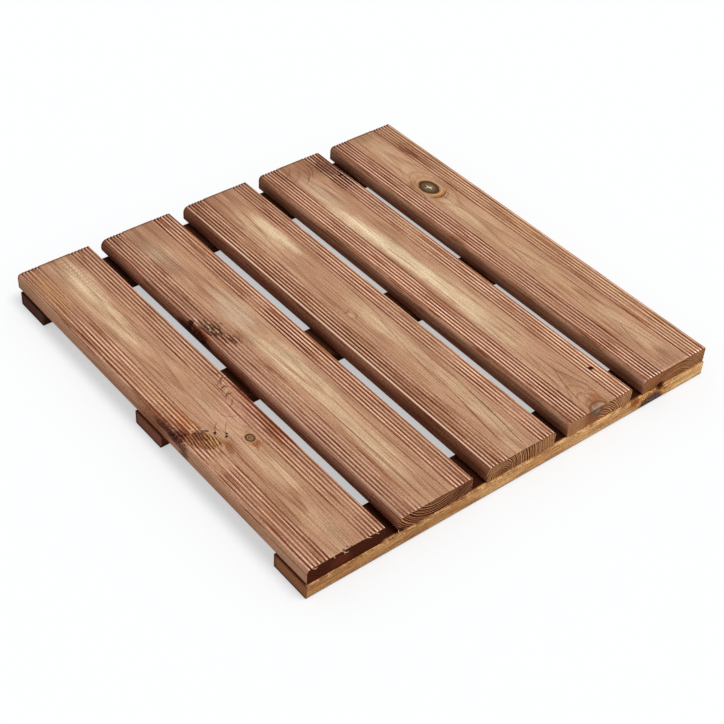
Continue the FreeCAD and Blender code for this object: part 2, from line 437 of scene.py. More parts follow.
        Patch(9, 170, 9, 28, CREAM, 0.5), Patch(-2, -236, 10, 16, PALE, 0.5),
    ),
    stains_and_shade=(
        Patch(-32, 0, 13, 500, (0.81, 0.77, 0.72, 1), 1), Patch(34, -60, 13, 260, (1.1, 1.13, 1.13, 1), 1),
    ),
    strokes=(
        # The first stroke on the next line is a painted highlight along the left arris, at its outermost
        # crest.
        Stroke(-38.3, 0, 262, 90, 0, 0.75, 0.75, FIBRE_AND_HIGHLIGHT), Stroke(-2, -170, 60, 84, 1.5, 0.55, 0.6),
        Stroke(4, -80, 60, 83, -1.5, 0.5, 0.5), Stroke(-6, -205, 36, 86, 0, 0.5, 0.5),
        Stroke(3, -215, 30, 85, 0, 0.5, 0.5), Stroke(11, -200, 44, 85, 0.8, 0.6, 0.6),
        Stroke(15, -150, 60, 86, 0, 0.5, 0.5), Stroke(-8, 3, 5, 15, 2, 0.6, 0.5),
        Stroke(-3, -6, 5, 70, 2.5, 0.6, 0.5), Stroke(-10, 120, 60, 90, 1, 0.5, 0.4),
        Stroke(18, 40, 70, 88, 1, 0.5, 0.5),
    ),
    worn=(
        Worn(-28, 85, 16, 36, -0.45), Worn(-28, -190, 16, 50, 0.55), Worn(30, -105, 14, 22, 0.5),
        Worn(-28, 155, 14, 22, 0.6), Worn(30, -200, 14, 26, 0.3),
    ),
    end=End(tint(80, 36, 20), tint(204, 150, 102), 0.2, (
        Patch(-22, -14, 12, 6, tint(88, 42, 26), 0.55), Patch(34, -9, 16, 14, tint(186, 134, 92), 0.4),
        Patch(-34, -6, 8, 6, tint(172, 122, 78), 0.5),
    )),
), Slat(
    "slat_4", corner_radii=(5.5, 4, 7, 3), groove_shift=0.8, pith_across=-6, pith_height=-38, climb=-0.004,
    ring_width=2.25, seed=4, grooving=(0.95, 1.75, 0.85, 1.5), shaded_side=0.5,
    knots=(
        Knot("grey", -3.5, -249, 11, 9, slant=0.1, push=-3.2, reach=3.6),
        Knot("rough", 33, 222, 11, 22, push=2.6, reach=2.2),
    ),
    patches=(
        Patch(-5, 30, 12, 165, CREAM, 0.85, -0.045), Patch(-2, -90, 12, 75, PALE, 0.6),
        Patch(-10, -90, 7, 62, CREAM, 0.5), Patch(11, -70, 7, 90, PALE, 0.5),
        Patch(-2, 185, 13, 45, GREYED, 0.5),
    ),
    stains_and_shade=(
        Patch(34, -20, 13, 500, (1.1, 1.14, 1.14, 1), 1), Patch(3, -235, 8, 9, (0.78, 0.6, 0.46, 1), 0.8),
        Patch(34, -190, 13, 80, LIGHTER, 1), Patch(-32, -10, 13, 130, LIGHTER, 1),
        Patch(0, 50, 8, 42, DARKER, 0.75), Patch(34, 128, 13, 34, DARKER, 0.8),
        Patch(12, 232, 18, 26, RUSTY, 0.35), Patch(27, 186, 12, 18, RUSTY, 0.5),
        Patch(40, 236, 4, 26, RUSTY, 0.9), Patch(29, 219, 11, 19, (0.5, 0.4, 0.42, 1), 0.8),
    ),
    strokes=(
        Stroke(31, -203, 2.6, 0, 0, 2.4, 1, SOOT), Stroke(8, 222, 14, 64, 4, 0.8, 0.4),
        Stroke(2, 216, 14, 60, 4, 0.8, 0.4), Stroke(14, 226, 14, 70, 3.5, 0.8, 0.4),
        Stroke(-4, 226, 16, 50, 4, 1.2, 0.25), Stroke(-12, 234, 12, 40, 3, 1.2, 0.25),
        Stroke(20.9, 212, 38, 90, 0, 0.9, 0.85), Stroke(24.8, 212, 38, 90, 0, 0.9, 0.85),
        Stroke(28.6, 200, 28, 90, 0, 0.9, 0.8), Stroke(32.4, 191, 15, 90, 0, 1.1, 1, SOOT),
        Stroke(36.3, 193, 16, 90, 0, 1.3, 1, SOOT), Stroke(40.1, 200, 18, 90, 0, 1.2, 1, SOOT),
        Stroke(34, 199, 3, 0, 0, 1.4, 1, SOOT), Stroke(32.4, 243, 6, 90, 0, 0.8, 0.8),
        Stroke(36.3, 243, 6, 90, 0, 0.8, 0.8), Stroke(30.5, 180, 9, 90, 0, 0.6, 0.25, FIBRE_AND_HIGHLIGHT),
        Stroke(34.3, 176, 9, 90, 0, 0.6, 0.25, FIBRE_AND_HIGHLIGHT), Stroke(-7, -205, 26, 76, -2, 0.6, 0.5),
        Stroke(7, -205, 24, 104, 2, 0.6, 0.5), Stroke(-12, -190, 40, 83, -2, 0.55, 0.45),
        Stroke(12, -196, 34, 98, 2, 0.55, 0.45),
    ),
    worn=(
        Worn(-40.6, 0, 3.3, 900, 0.9), Worn(30, 188, 14, 24, -0.5), Worn(-28, -225, 14, 30, -0.4),
        Worn(30, 60, 14, 60, 0.4), Worn(-28, 155, 14, 25, 0.3),
    ),
    end=End(tint(100, 56, 34), tint(208, 154, 108), 0.15, (
        Patch(-28, -9, 17, 14, tint(172, 122, 84), 0.75), Patch(36, -9, 12, 14, tint(176, 126, 90), 0.6),
        Patch(-8, -6, 16, 15, tint(140, 80, 46), 0.9), Patch(-5, -1, 11, 10.5, tint(108, 84, 70), 1.3),
        Patch(-4, -4, 4, 3, tint(140, 118, 102), 0.8),
    )),
), Slat(
    "slat_5", corner_radii=(5.5, 1.5, 3, 3), groove_shift=-0.1, pith_across=3, pith_height=-44, climb=-0.014,
    ring_width=2.25, seed=5, grooving=(0.9, 1.7, 0.75, 0.85), shaded_side=0.5,
    knots=(Knot("star", -2.5, 122.5, 10, 13.2, push=-3.4, reach=2.2),),
    patches=(
        Patch(0, 20, 16, 290, tint(196, 158, 122), 0.7), Patch(2, 200, 14, 50, PALE, 0.4),
        Patch(2, -180, 13, 60, PALE, 0.4), Patch(-3, 104, 10, 6, tint(190, 124, 72), 0.8),
        Patch(-4, 62, 11, 40, PALE, 0.7),
    ),
    stains_and_shade=(
        Patch(34, -20, 13, 500, (1.1, 1.15, 1.08, 1), 1), Patch(2, -236, 20, 20, DARKER, 1),
        Patch(34, 10, 13, 60, LIGHTER, 0.7), Patch(34, 150, 13, 50, DARKER, 0.9),
        Patch(26, 192, 9, 30, RUSTY, 0.65), Patch(-12, 136, 8, 10, RUSTY, 0.55),
        Patch(0, 243, 19, 12, DARKER, 0.9), Patch(-3, -62, 6, 12, DARKER, 0.8),
    ),
    strokes=(
        Stroke(-2, 103.5, 10, 0, 5.5, 1.1, 0.65, tint(170, 108, 62)), Stroke(-2, 101, 11, 0, 6, 0.9, 0.95),
        Stroke(-1, 106.6, 8, 0, 4.5, 0.6, 0.6, tint(220, 176, 120)), Stroke(-2, 97.5, 12, 0, 6.5, 0.6, 0.3),
        Stroke(12.5, 118, 18, 92, -4, 0.6, 0.35), Stroke(15.5, 118, 22, 91, -4, 0.6, 0.35),
        Stroke(-16, 122, 16, 90, 4, 0.7, 0.5), Stroke(-19, 124, 20, 90, 4, 0.7, 0.4),
        Stroke(-6, -195, 22, 80, -1.5, 0.6, 0.5), Stroke(4, -190, 26, 97, 1.5, 0.6, 0.5),
        Stroke(-9, -40, 26, 82, -1.5, 0.6, 0.5), Stroke(2, -36, 26, 98, 1.5, 0.6, 0.5),
        Stroke(26, 188, 12, 88, 0, 0.9, 0.7), Stroke(22, 196, 9, 92, 0, 0.7, 0.6),
        Stroke(8, -105, 44, 90, 0.6, 0.5, 0.5),
    ),
    worn=(
        Worn(-41.2, 0, 3.3, 900, 0.9), Worn(-28, -236, 14, 24, -0.7), Worn(30, -165, 14, 26, 0.4),
        Worn(-28, -105, 14, 30, 0.3),
    ),
    end=End(tint(110, 60, 32), tint(182, 128, 82), 0.2, (
        Patch(30, -8, 16, 14, tint(160, 112, 80), 0.5), Patch(-19, -17, 7, 4.5, tint(52, 18, 11), 1),
    ), tip_highlight=1.7),
))


def offsets(place, across, along):
    """How far a point lies sideways and lengthways from a knot, patch or worn place, 1 at its half sizes."""
    sideways = scaled(across, 1 / place.half_across, -place.across / place.half_across)
    lengthways = scaled(along, 1 / place.half_along, -place.along / place.half_along)
    return sideways, lengthways


def knot_distance(knot, across, along):
    """Squared distance from a knot's middle, 1 on its rim."""
    sideways, lengthways = offsets(knot, across, along)
    if knot.slant:
        lengthways = scaled(sideways, -knot.slant * knot.half_across / knot.half_along, lengthways)
    return scaled(sideways, sideways, lengthways * lengthways)


def ring_number(slat, across, along, height):
    """How many growth rings lie between the pith and a point."""
    sideways = across - slat.pith_across
    if slat.lean:
        sideways = sideways - ramp(across, -32, 4) * along * slat.lean
    upwards = height - slat.pith_height + along * slat.climb * (1 if slat.pith_height > 0 else -1)
    number = root(sideways * sideways + upwards * upwards) * (1 / slat.ring_width)
    number = number + sine(number * 1.7 + slat.seed) * 0.2 + sine(number * 3.9 + slat.seed) * 0.07
    number = number + sine(along * 0.021 + slat.seed * 2) * 0.16 + sine(along * 0.057 + across * 0.05) * 0.05
    for knot in slat.knots:
        number = number + bell(knot_distance(knot, across, along) * (1 / knot.reach ** 2)) * knot.push
    return number


def stripe_phase(across, along):
    """The slanting stripes of the torn knot on the first slat."""
    return (across - along * 0.12) * 2.15


def ridge(number):
    """The hard late wood of the growth rings: it climbs slowly to 1 and drops steeply."""
    phase = fraction(number)
    return ramp(phase, 0.1, 0.78) * ramp(phase, 1.0, 0.86)


def from_groove(slat, across):
    """How far a point is across from the middle of the nearest groove."""
    steps = (size(across - slat.groove_shift) - FIRST_GROOVE) * (1 / GROOVE_PITCH)
    nearest = smaller(larger(whole(steps + 0.5), 0.0), GROOVES_PER_BAND - 1.0)
    return size(steps - nearest) * GROOVE_PITCH


def groove_depth_left(slat, across, along):
    """What wear has left of the grooves, 1 where there is none."""
    left = 1.0
    for worn in slat.worn:
        sideways, lengthways = offsets(worn, across, along)
        distance = root(scaled(sideways, sideways, lengthways * lengthways))
        left = left * scaled(ramp(distance, 1.3, 0.25), -worn.amount, 1.0)
    return left


def uneven(across, along, seed):
    """Slow unevenness between about -1 and 1, longer along the grain."""
    waves = sine(along * 0.09 + across * 1.9 + seed) + sine(along * 0.23 + across * 0.7 + seed * 3)
    return (waves + sine(along * 0.41 + across * 3.1 + seed * 5) + sine(along * 0.037 + across * 5.3)) * 0.25


# The slats' meshes

def as_mesh(board, name):
    """Ends a bmesh as a mesh."""
    mesh = bpy.data.meshes.new(name)
    board.to_mesh(mesh)
    board.free()
    return mesh


def add_object(name, data):
    made = bpy.data.objects.new(name, data)
    bpy.context.scene.collection.objects.link(made)
    return made


def prism(low, high, radii):
    """A board in millimetres, its long corners rounded: top left, top right, bottom right, bottom left."""
    board = bmesh.new()
    bmesh.ops.create_cube(board, size=1)
    bmesh.ops.scale(board, vec=high - low, verts=board.verts)
    bmesh.ops.translate(board, vec=(high + low) / 2, verts=board.verts)
    corners = ((low.x, high.z), (high.x, high.z), (high.x, low.z), (low.x, low.z))
    for (x, z), radius in zip(corners, radii):
        corner = Vector((x, z))
        edge = [e for e in board.edges if all((v.co.xz - corner).length < SAME for v in e.verts)]
        step = UPPER_ARC_STEP if z == high.z else LOWER_ARC_STEP
        segments = max(4, round(radius * math.pi / 2 / step))
        bmesh.ops.bevel(
            board, geom=edge, offset=radius, segments=segments, profile=0.5, affect="EDGES", material=-1
        )
    return board


def runs(edge, axis):
    """Whether an edge runs along one axis only."""
    step = edge.verts[1].co - edge.verts[0].co
    return abs(step[axis]) > SAME and all(abs(step[other]) < SAME for other in range(3) if other != axis)


def divide(board, edges, piece):
    """Divides edges that are all as long as the first into pieces of about one length."""
    cuts = max(1, round(edges[0].calc_length() / piece) - 1)
    bmesh.ops.subdivide_edges(board, edges=edges, cuts=cuts, use_grid_fill=True)


def vectors(mesh, name):
    """All the vertices' places or normals, as rows of x, y and z."""
    values = np.empty(len(mesh.vertices) * 3, np.float32)
    mesh.vertices.foreach_get(name, values)
    return values.reshape(-1, 3).astype(float)


def slat_mesh(slat, low, high, middle):
    board = prism(low, high, slat.corner_radii)
    divide(board, [edge for edge in board.edges if runs(edge, 1)], ALONG_STEP)
    upper = [edge for edge in board.edges if runs(edge, 0) and edge.verts[0].co.z > high.z - SAME]
    divide(board, upper, ACROSS_STEP)
    for x in (low.x, high.x):
        upright = [edge for edge in board.edges if runs(edge, 2) and abs(edge.verts[0].co.x - x) < SAME]
        divide(board, upright, SIDE_STEP)
    for face in board.faces:
        face.smooth = True
        face.material_index = 1 if abs(face.normal.y) > 0.9 else 0
    mesh = as_mesh(board, slat.node + "_grooved")

    places = vectors(mesh, "co")
    facing = vectors(mesh, "normal")
    facing[:, 1] = 0
    facing /= np.linalg.norm(facing, axis=1)[:, None]
    across = places[:, 0] - middle
    along = places[:, 1]
    height = places[:, 2] - high.z

    bumps = uneven(across, along, slat.seed)
    groove = ramp(from_groove(slat, across) + bumps * 0.12, 1.3, 0.15)
    late = ridge(ring_number(slat, across, along, height))
    torn = np.zeros(len(across))
    for knot in slat.knots:
        distance = root(knot_distance(knot, across, along))
        if knot.look in KNOT_TONES:
            torn = np.maximum(torn, ramp(distance, 1.15, 0.7))
        if knot.look == "spike":
            striped = ramp(distance, 1.1, 0.8) * (sine(stripe_phase(across, along)) + 1) / 2
            torn = torn * 0.3 + striped * 0.5
    chips = np.clip(uneven(across * 1.7, along * 2.1, slat.seed + 9) + uneven(across, along * 5, 4.0), 0, 1)
    groove = groove * groove_depth_left(slat, across, along)
    top_sink = groove * GROOVE_DEPTH * (1 + 0.12 * bumps)
    top_sink += TOP_RINGS * (1 - late) + TOP_DIPS * (1 + bumps) / 2 + torn * (chips + 0.35) * TORN_DEPTH
    side_sink = SIDE_RINGS * (1 - late) + SIDE_DIPS * (1 + bumps)
    upward = ramp(facing[:, 2], 0.1, 0.75)
    sink = np.where(facing[:, 2] < -0.5, 0, top_sink * upward + side_sink * (1 - upward))
    places[:, 2] -= sink * np.clip(facing[:, 2], 0, 1)
    places[:, 0] -= sink * facing[:, 0]
    mesh.vertices.foreach_set("co", (places * MM).astype(np.float32).ravel())
    mesh.set_sharp_from_angle(angle=SHARP_ANGLE)
    mesh.update()
    return mesh


# The slats' finishes

def broken(patch, across, along, rough):
    """How far a patch's colour shows at a point, with its edge broken up."""
    sideways, lengthways = offsets(patch, across, along)
    if patch.slant:
        sideways = scaled(lengthways, -patch.slant * patch.half_along / patch.half_across, sideways)
    distance = root(scaled(sideways, sideways, lengthways * lengthways)) + rough
    return ramp(distance, 1.15, 0.35) * patch.amount


def drawn(stroke, across, along, wild):
    """How far a stroke's line shows at a point, with its edge made rough."""
    turn = math.radians(stroke.turn)
    right, back = math.cos(turn), math.sin(turn)
    length, width = stroke.half_length, stroke.half_width
    start = -(stroke.across * right + stroke.along * back) / length
    reach = scaled(across, right / length, scaled(along, back / length, start))
    start = (stroke.across * back - stroke.along * right) / width
    apart = scaled(across, -back / width, scaled(along, right / width, start))
    squared = reach * reach
    if stroke.bow:
        apart = scaled(squared, -stroke.bow / width, apart)
    distance = scaled(apart, apart, scaled(squared, squared, wild))
    return ramp(distance, 1.9, 0.3) * stroke.amount


def slat_finish(slat, middle, half_width, top):
    """A slat's stained wood, from the plain wood up to its knots and thin lines."""
    finish = Finish(slat.node + "_stained_wood")
    x, along, z = finish.place()
    across = x - middle
    height = z - top
    seed = slat.seed * 37.0
    number = ring_number(slat, across, along, height)

    # Noises, slowest first
    slow = finish.noise(across * 0.05, along * 0.008 + seed, height * 0.05, 3.0, 0.6)
    streaky = finish.noise(across * 0.35, along * 0.012 + seed, height * 0.35, 3.0, 0.6)
    mottle = finish.noise(across * 0.16, along * 0.07 + seed, height * 0.16, 4.0, 0.65)
    lines = finish.noise(across * 0.8, along * 0.014 + seed, height * 0.8, 2.0, 0.6)
    grit = finish.noise(across * 0.9, along * 0.55 + seed, height * 0.9, 2.0, 0.7)

    # The plain wood, its patches and its ripples
    colour = finish.mix(ramp(slow, 0.3, 0.7), tint(174, 131, 101), tint(193, 151, 119))
    colour = finish.mix(ramp(streaky, 0.35, 0.75) * 0.4, colour, tint(202, 152, 124))
    rough = (mottle - 0.5) * 0.7 + (streaky - 0.5) * 0.9
    for patch in slat.patches:
        colour = finish.mix(broken(patch, across, along, rough), colour, patch.colour)
    for patch in slat.ripples:
        wave = sine(along * 1.15 + sine(across * 1.6) * 1.2 + (mottle - 0.5) * 7.0)
        colour = finish.mix(broken(patch, across, along, rough) * ramp(wave, 0.0, 0.9), colour, patch.colour)

    # Growth rings
    phase = fraction(number)
    ring = (ramp(phase, 0.6, 0.88) - ramp(phase, 0.93, 1.0)) * ramp(streaky, 0.25, 0.65)
    colour = finish.tinge(ring * 0.6, colour, LATE_WOOD)

    # Grooves, darkened partly as stain and partly as painted shade, and painted highlights on the crests
    # between them, stronger near both ends of the slat
    beside = size(across - slat.groove_shift)
    outward = ramp(beside, FIRST_GROOVE, FIRST_GROOVE + GROOVE_PITCH * (GROOVES_PER_BAND - 1))
    left_inner, left_outer, right_inner, right_outer = slat.grooving
    left = scaled(outward, left_outer - left_inner, left_inner)
    right = scaled(outward, right_outer - right_inner, right_inner)
    strength = scaled(ramp(across, -4.0, 4.0), right - left, left)
    strength = strength * (ramp(slow, 0.32, 0.62) * 0.6 + 0.6) * groove_depth_left(slat, across, along)
    middle_along, half_length = (NEAR_END + FAR_END) / 2, (FAR_END - NEAR_END) / 2
    strength = strength * (ramp(size(along - middle_along), half_length - 6.0, half_length - 1.5) * 0.9 + 1.0)
    banded = ramp(beside, FIRST_GROOVE - 2.6, FIRST_GROOVE - 0.6) * ramp(height, -6.0, -2.5)
    offset = from_groove(slat, across) + (grit - 0.5) * 0.1 + (lines - 0.5) * 0.6
    groove = ramp(offset, 1.2, 0.3) * banded
    crest = ramp(offset, 1.0, 1.6) * ramp(offset, 2.6, 2.1) * banded
    colour = finish.tinge(smaller(groove * strength, 1.0), colour, SHADE_AND_STAIN)
    colour = finish.tinge(smaller(crest * strength * ramp(lines, 0.3, 0.55), 1.0), colour, CREST_HIGHLIGHT)

    # Painted shade on the left side, deeper lower down; thin lines along the grain; and stained places, one
    # of them painted shade
    edge = ramp(across, 5.6 - half_width, 4.0 - half_width) * slat.shaded_side
    edge = smaller(edge * (ramp(height, -6.5, -12.5) * 0.9 + 1.0), 1.0)
    colour = finish.tinge(edge, colour, SHADED)
    lined = banded * 0.45 + 0.55
    colour = finish.tinge(ramp(lines, 0.53, 0.62) * lined, colour, DARK_LINE)
    colour = finish.tinge(ramp(lines, 0.45, 0.36) * lined * 0.65, colour, LIGHT_LINE)
    ragged = scaled(grit - 0.5, 0.9, rough)
    for patch in slat.stains_and_shade:
        shown = broken(patch, across, along, ragged)
        if patch.depth < math.inf:
            shown = shown * ramp(height + rough * 6.0, -patch.depth - 1.5, 1.5 - patch.depth)
        colour = finish.tinge(shown, colour, patch.colour)
        if patch.specks:
            colour = finish.mix(shown * ramp(grit, 0.62, 0.7) * patch.specks, colour, tint(190, 146, 118))

    # The far end, the worn and the cut edge, with a painted highlight on the crests' tips along the cut edge,
    # and flecks
    colour = finish.tinge(ramp(along, FAR_END - 60.0, FAR_END - 12.0) * 0.75, colour, DARKER)
    far_edge = ramp(along, FAR_END - 3.4, FAR_END - 1.4)
    colour = finish.tinge(far_edge * scaled(groove, 0.4, 0.6), colour, WORN_EDGE)
    # Painted highlight on the crests' tips along the near cut edge
    cut = ramp(along, NEAR_END + 3.2, NEAR_END + 1.2) * slat.end.tip_highlight
    colour = finish.tinge(cut * scaled(crest, 0.7, 0.3), colour, CUT_EDGE_HIGHLIGHT)
    colour = finish.lit(colour, scaled(grit - 0.5, banded * 0.3 + 1.25, banded * 0.05 + 1.0))
    fleck = finish.noise(across * 0.9, along * 0.16 + seed, height * 0.9, 1.0, 0.5)
    colour = finish.mix(ramp(fleck, 0.72, 0.78) * 0.6, colour, UMBER)

    for knot in slat.knots:
        colour = knot_colour(finish, knot, colour, across, along, groove, mottle, grit)
    wild = (grit - 0.5) * 2.2
    for stroke in slat.strokes:
        colour = finish.mix(drawn(stroke, across, along, wild), colour, stroke.colour)
    return finish.wood(colour, 0.58 + lines * 0.2, lines * 0.7 + grit * 0.25, 0.25)


def knot_colour(finish, knot, colour, across, along, groove, mottle, grit):
    """The wood's colour with a knot over it."""
    squared = knot_distance(knot, across, along)
    distance = root(squared) + (mottle - 0.5) * 0.3
    inside = ramp(distance + (grit - 0.5) * 0.7, 1.1, 0.8)
    if knot.look in KNOT_TONES:
        dark, light, share = KNOT_TONES[knot.look]
        strands = finish.noise(across * 0.9, along * 0.2, knot.along, 3.0, 0.7)
        if knot.look == "spike":
            shade = ramp(sine(stripe_phase(across, along) + (mottle - 0.5) * 9.0 + grit * 2.0), -0.8, 0.6)
            shade = smaller(shade * ramp(strands, 0.3, 0.45) + ramp(strands, 0.56, 0.66) * 0.7, 1.0)
            light = finish.mix(ramp(across, -20.0, -28.0), light, tint(176, 118, 82))
        else:
            shade = smaller(groove * 0.8 + ramp(strands, 0.6, 0.42) * 0.5, 1.0)
        inner = finish.mix(shade, light, dark)
        if knot.look == "smear":
            greyed = ramp(strands, 0.52, 0.62) * ramp(distance, 0.8, 0.4)
            inner = finish.mix(greyed, inner, tint(124, 118, 98))
        inner = finish.lit(inner, grit * 1.6 + 0.2)
        return finish.mix(inside * share, colour, inner)
    if knot.look == "grey":
        heart = finish.mix(ramp(mottle, 0.3, 0.7), tint(116, 78, 56), tint(184, 144, 116))
        heart = finish.lit(heart, grit * 1.6 + 0.2)
        heart = finish.mix(ramp(distance, 0.7, 1.0), heart, tint(122, 80, 56))
        colour = finish.mix(ramp(distance, 2.1, 1.0) * 0.45, colour, tint(150, 98, 62))
        return finish.mix(ramp(distance, 1.15, 0.95), colour, heart)
    if knot.look == "star":
        heart = finish.mix(mottle, tint(52, 38, 28), tint(138, 112, 82))
        lengthways, sideways = along - knot.along, across - knot.across
        cracks = size(lengthways * sideways + sideways * sideways * 0.4 + (mottle - 0.5) * 8.0)
        pale = ramp(cracks, 3.0, 0.8) * ramp(squared, 0.3, 0.05) * ramp(grit, 0.3, 0.6)
        heart = finish.mix(pale, heart, tint(222, 212, 186))
        heart = finish.mix(ramp(distance, 0.5, 0.95) * 0.9, heart, tint(70, 42, 28))
        circles = ramp(sine(distance * 23.0), 0.1, 0.9) * ramp(distance, 2.3, 1.1)
        colour = finish.tinge(circles * 0.55, colour, LATE_WOOD)
    else:
        rings = ramp(sine(distance * 21.0 + mottle * 6.0), -0.6, 0.8)
        heart = finish.mix(rings * 0.7, tint(104, 70, 46), tint(182, 142, 102))
        heart = finish.mix(ramp(distance, 0.66, 0.92) * 0.95, heart, tint(58, 28, 16))
    heart = finish.lit(heart, grit * 1.4 + 0.3)
    colour = finish.mix(ramp(distance, 1.9, 1.0) * 0.5, colour, tint(196, 148, 102))
    return finish.mix(ramp(distance, 1.16, 0.96), colour, heart)


def end_finish(slat, middle, top):
    """A slat's end grain, where its rings show as on the walking face."""
    finish = Finish(slat.node + "_end_grain")
    x, along, z = finish.place()
    across = x - middle
    height = z - top
    number = ring_number(slat, across, along, height)
    hard = ramp(ridge(number), slat.end.thin, 1.0)
    rough = finish.noise(across * 0.9, along * 0.2, height * 0.9 + slat.seed, 4.0, 0.7)
    patchy = finish.noise(across * 0.09, along * 0.1, height * 0.16 + slat.seed, 2.0, 0.5)
    colour = finish.mix(hard * (0.3 + rough * 1.1), slat.end.dark, slat.end.light)
    for spot in slat.end.spots:
        colour = finish.mix(broken(spot, across, height, (rough - 0.5) * 0.8), colour, spot.colour)
    colour = finish.lit(colour, scaled(rough, 1.5, patchy * 0.4 + 0.08))
    return finish.wood(colour, 0.75, rough + hard * 0.6, 0.4)


# Dark and light tones for each bearer's long faces, then its top's and its ends'. The tops, and the middle
# bearer's long faces, which show only in the gaps under the slats, are dark partly from stain and partly as
# painted shade.
BEARER_TONES = {
    "bearer_front": (tint(164, 114, 70), tint(198, 152, 102), tint(58, 26, 16), tint(136, 90, 60)),
    "bearer_middle": (tint(66, 34, 24), tint(96, 54, 38), tint(76, 40, 24), tint(116, 70, 54)),
    "bearer_back": (tint(58, 32, 24), tint(84, 50, 36), tint(60, 30, 20), tint(74, 42, 32)),
}

# The front bearer's knot and the torn dark places beside it, where along is a height
FRONT_BEARER_KNOT = Knot("bearer", 176, 2, 14, 10)
FRONT_BEARER_MARKS = (Patch(187, 15.5, 7, 4.5, SOOT_AND_SHADOW, 1.0), Patch(152, 13, 10, 5, RUSTY, 1.0))


def bearer_finish(node):
    """Sawn wood in four tones: two for the long faces, one for the top and one for the ends."""
    low, high = (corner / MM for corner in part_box(node))
    dark, light, top, ends = BEARER_TONES[node]
    finish = Finish(node + "_sawn_wood")
    across, along, height = finish.place()
    seed = low.y * 0.37
    slow = finish.noise(across * 0.008, along * 0.06 + seed, height * 0.1, 3.0, 0.6)
    fibre = finish.noise(across * 0.05, along * 0.9 + seed, height * 0.9, 4.0, 0.7)
    grit = finish.noise(across * 0.8, along * 0.9 + seed, height * 0.9, 2.0, 0.7)
    wild = (grit - 0.5) * 2.0
    colour = finish.mix(ramp(slow, 0.3, 0.7), dark, light)
    upper = ramp(height, high.z - 1.3, high.z - 0.1)
    if node == "bearer_front":
        colour = finish.tinge(ramp(across + slow * 80.0, -110.0, 30.0), colour, (1.3, 1.42, 1.5, 1.0))
        # Torn golden fibres along its upper edge, a pale seam, and the knot
        clumps = finish.noise(across * 0.11 + seed, along * 0.3, height * 0.4, 3.0, 0.7)
        fuzz = ramp(grit, 0.4, 0.6) * ramp(height, high.z - 5.0, high.z - 1.5) * ramp(clumps, 0.45, 0.62)
        colour = finish.mix(fuzz * 0.7, colour, tint(234, 184, 126))
        hollows = ramp(clumps, 0.55, 0.42) * ramp(height, high.z - 3.0, high.z - 0.6)
        colour = finish.tinge(hollows * 0.6, colour, SHADE_AND_STAIN)
        seam = ramp(size(height - 5.5) + wild, 3.4, 2.0) * ramp(across + height * 1.5 + wild, 196.0, 208.0)
        colour = finish.mix(seam * 0.8, colour, tint(226, 184, 120))
        knot = root(knot_distance(FRONT_BEARER_KNOT, across, height)) + (fibre - 0.5) * 0.4 + wild * 0.06
        torn = ramp(knot, 2.0, 1.3) * ramp(grit, 0.45, 0.58)
        colour = finish.mix(torn * 0.7, colour, tint(226, 166, 92))
        colour = finish.tinge(ramp(knot, 2.4, 1.6) * ramp(grit, 0.52, 0.4), colour, RUSTY)
        colour = finish.mix(ramp(knot, 1.35, 1.1) * 0.7, colour, tint(130, 74, 36))
        heart = finish.mix(ramp(grit, 0.4, 0.65), tint(72, 44, 40), tint(124, 94, 86))
        colour = finish.mix(ramp(knot, 1.1, 0.95), colour, heart)
        for mark in FRONT_BEARER_MARKS:
            colour = finish.tinge(broken(mark, across, height, wild * 0.4), colour, mark.colour)
        upper = upper * ramp(along, low.y + 2.4, low.y + 4.2)
        colour = finish.tinge(ramp(fibre, 0.5, 0.4) * 0.5, colour, DARK_LINE)
        colour = finish.tinge(ramp(grit, 0.4, 0.3) * 0.6, colour, RUSTY)
    # The top's tone: dark, partly stain and partly painted shade under the slats
    colour = finish.mix(upper, colour, top)
    end = ramp(size(across), high.x - 1.2, high.x - 0.3)
    colour = finish.mix(end, colour, ends)
    # Painted shade: the ends darker near the top, under the slats; they are also darker towards the back
    colour = finish.tinge(end * ramp(height, high.z - 3.0, high.z - 0.5) * 0.7, colour, SHADE_AND_STAIN)
    colour = finish.tinge(end * ramp(along, high.y - 7.0, high.y - 1.5) * 0.7, colour, SHADE_AND_STAIN)
    # Painted shadow along the bottom, where the bearers meet the floor
    colour = finish.tinge(ramp(height, 2.5, 1.4) * 0.9, colour, SOOT_AND_SHADOW)
    colour = finish.lit(colour, scaled(fibre, 0.9, scaled(grit, 1.7, -0.3)))
    return finish.wood(colour, 0.75, fibre * 0.5 + grit * 0.5, 0.3)


def staple_finish():
    finish = Finish("dull_zinc_wire")
    x, y, z = finish.place()
    grain = finish.noise(x * 2.0, y * 2.0, z * 0.6, 3.0, 0.6)
    colour = finish.mix(grain, tint(150, 150, 148), tint(200, 200, 196))
    bump = finish.node("ShaderNodeBump", {}, {"Strength": 0.5, "Distance": 0.05 * MM, "Height": grain})
    inputs = {"Base Color": colour, "Roughness": 0.35 + grain * 0.2, "Metallic": 1.0, "Normal": bump}
    return finish.done(finish.node("ShaderNodeBsdfPrincipled", {}, inputs))


def add_slat(slat):
    low, high = (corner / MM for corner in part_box(slat.node))
    middle, half_width = (low.x + high.x) / 2, (high.x - low.x) / 2
    mesh = slat_mesh(slat, low, high, middle)
    mesh.materials.append(slat_finish(slat, middle, half_width, high.z))
    mesh.materials.append(end_finish(slat, middle, high.z))
    piece = add_object(slat.node + "_grooved", mesh)
    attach(piece, "root")
    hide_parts(slat.node)


